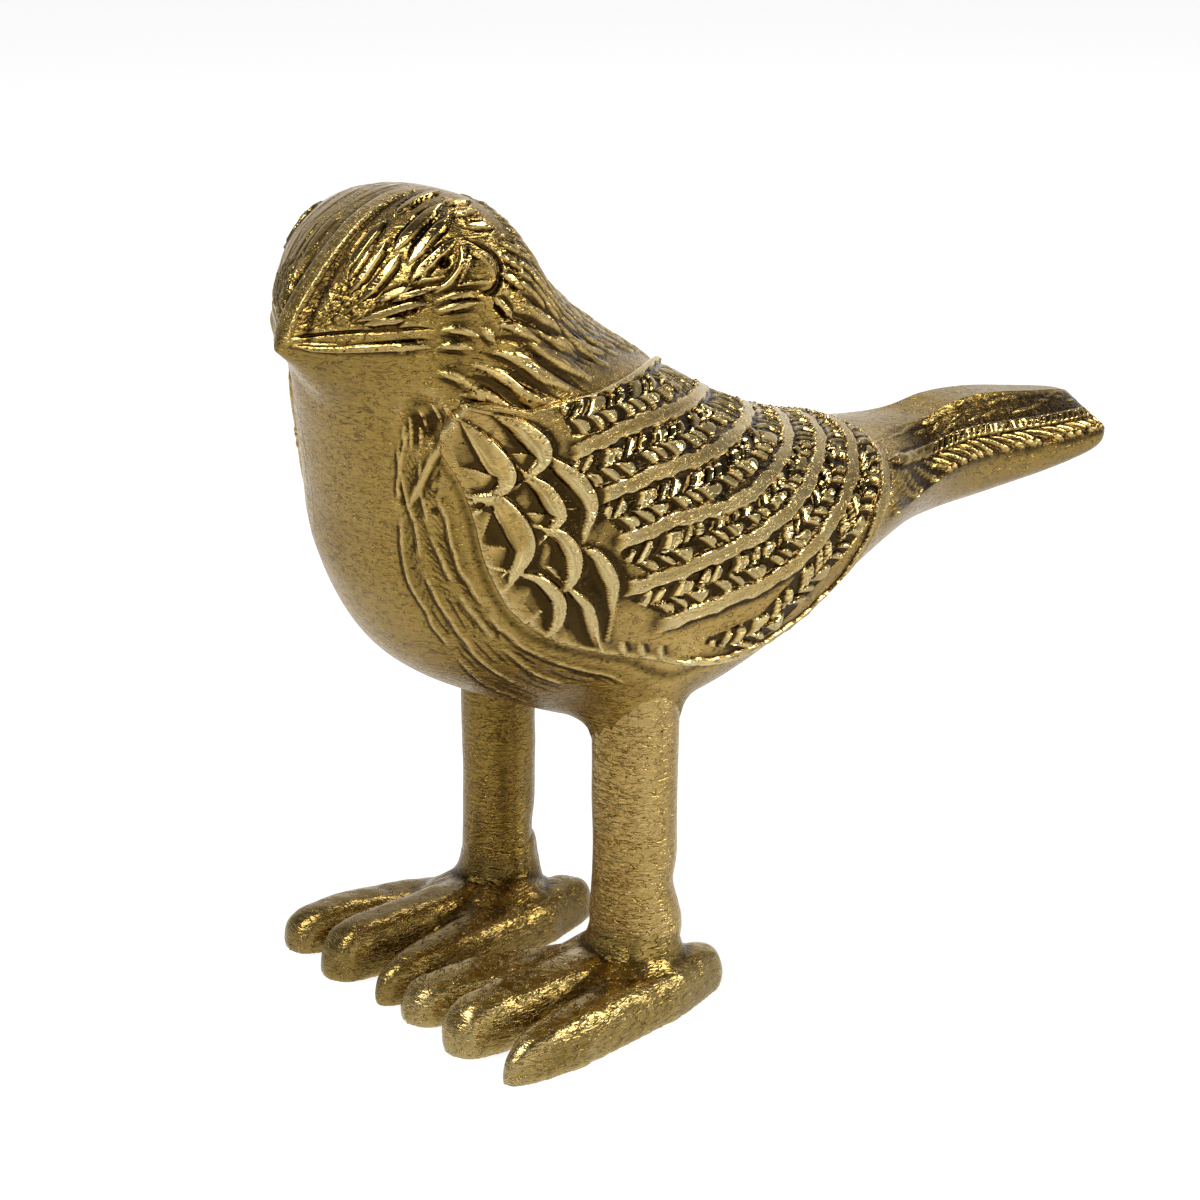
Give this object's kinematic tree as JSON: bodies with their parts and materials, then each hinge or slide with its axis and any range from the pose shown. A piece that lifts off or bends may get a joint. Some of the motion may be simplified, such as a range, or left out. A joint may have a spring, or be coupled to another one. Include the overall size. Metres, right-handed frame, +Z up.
{
  "type": "brass bird ornament",
  "caption": "Free-standing cast brass bird with folded feathered wings, a square tail, short round legs and flat three-toed feet, made to stand on a shelf or table.",
  "frame": {"origin": "on the ground, under the middle of the bird's length and width", "axes": "+Z up, the beak points along -Y and the tail along +Y, the bird's left side is +X"},
  "size_m": [0.0827, 0.208, 0.1615],
  "materials": {
    "cast_brass": "cast, chased and polished satin, with dark patina in the recesses",
    "wing_brass": "chased feathers with bright worn crests over dark patina",
    "leg_brass": "filed and hammered, lightly polished",
    "fixing_steel": "plain turned steel"
  },
  "bodies": {
    "root": {"left_body_shell": "cast_brass", "right_body_shell": "cast_brass", "left_wing": "wing_brass", "right_wing": "wing_brass", "tail": "cast_brass", "left_leg": "leg_brass", "right_leg": "leg_brass", "left_foot": "leg_brass", "right_foot": "leg_brass", "left_leg_stud": "fixing_steel", "right_leg_stud": "fixing_steel", "left_foot_screw": "fixing_steel", "right_foot_screw": "fixing_steel", "seam_dowels": "fixing_steel"}
  },
  "joints": []
}
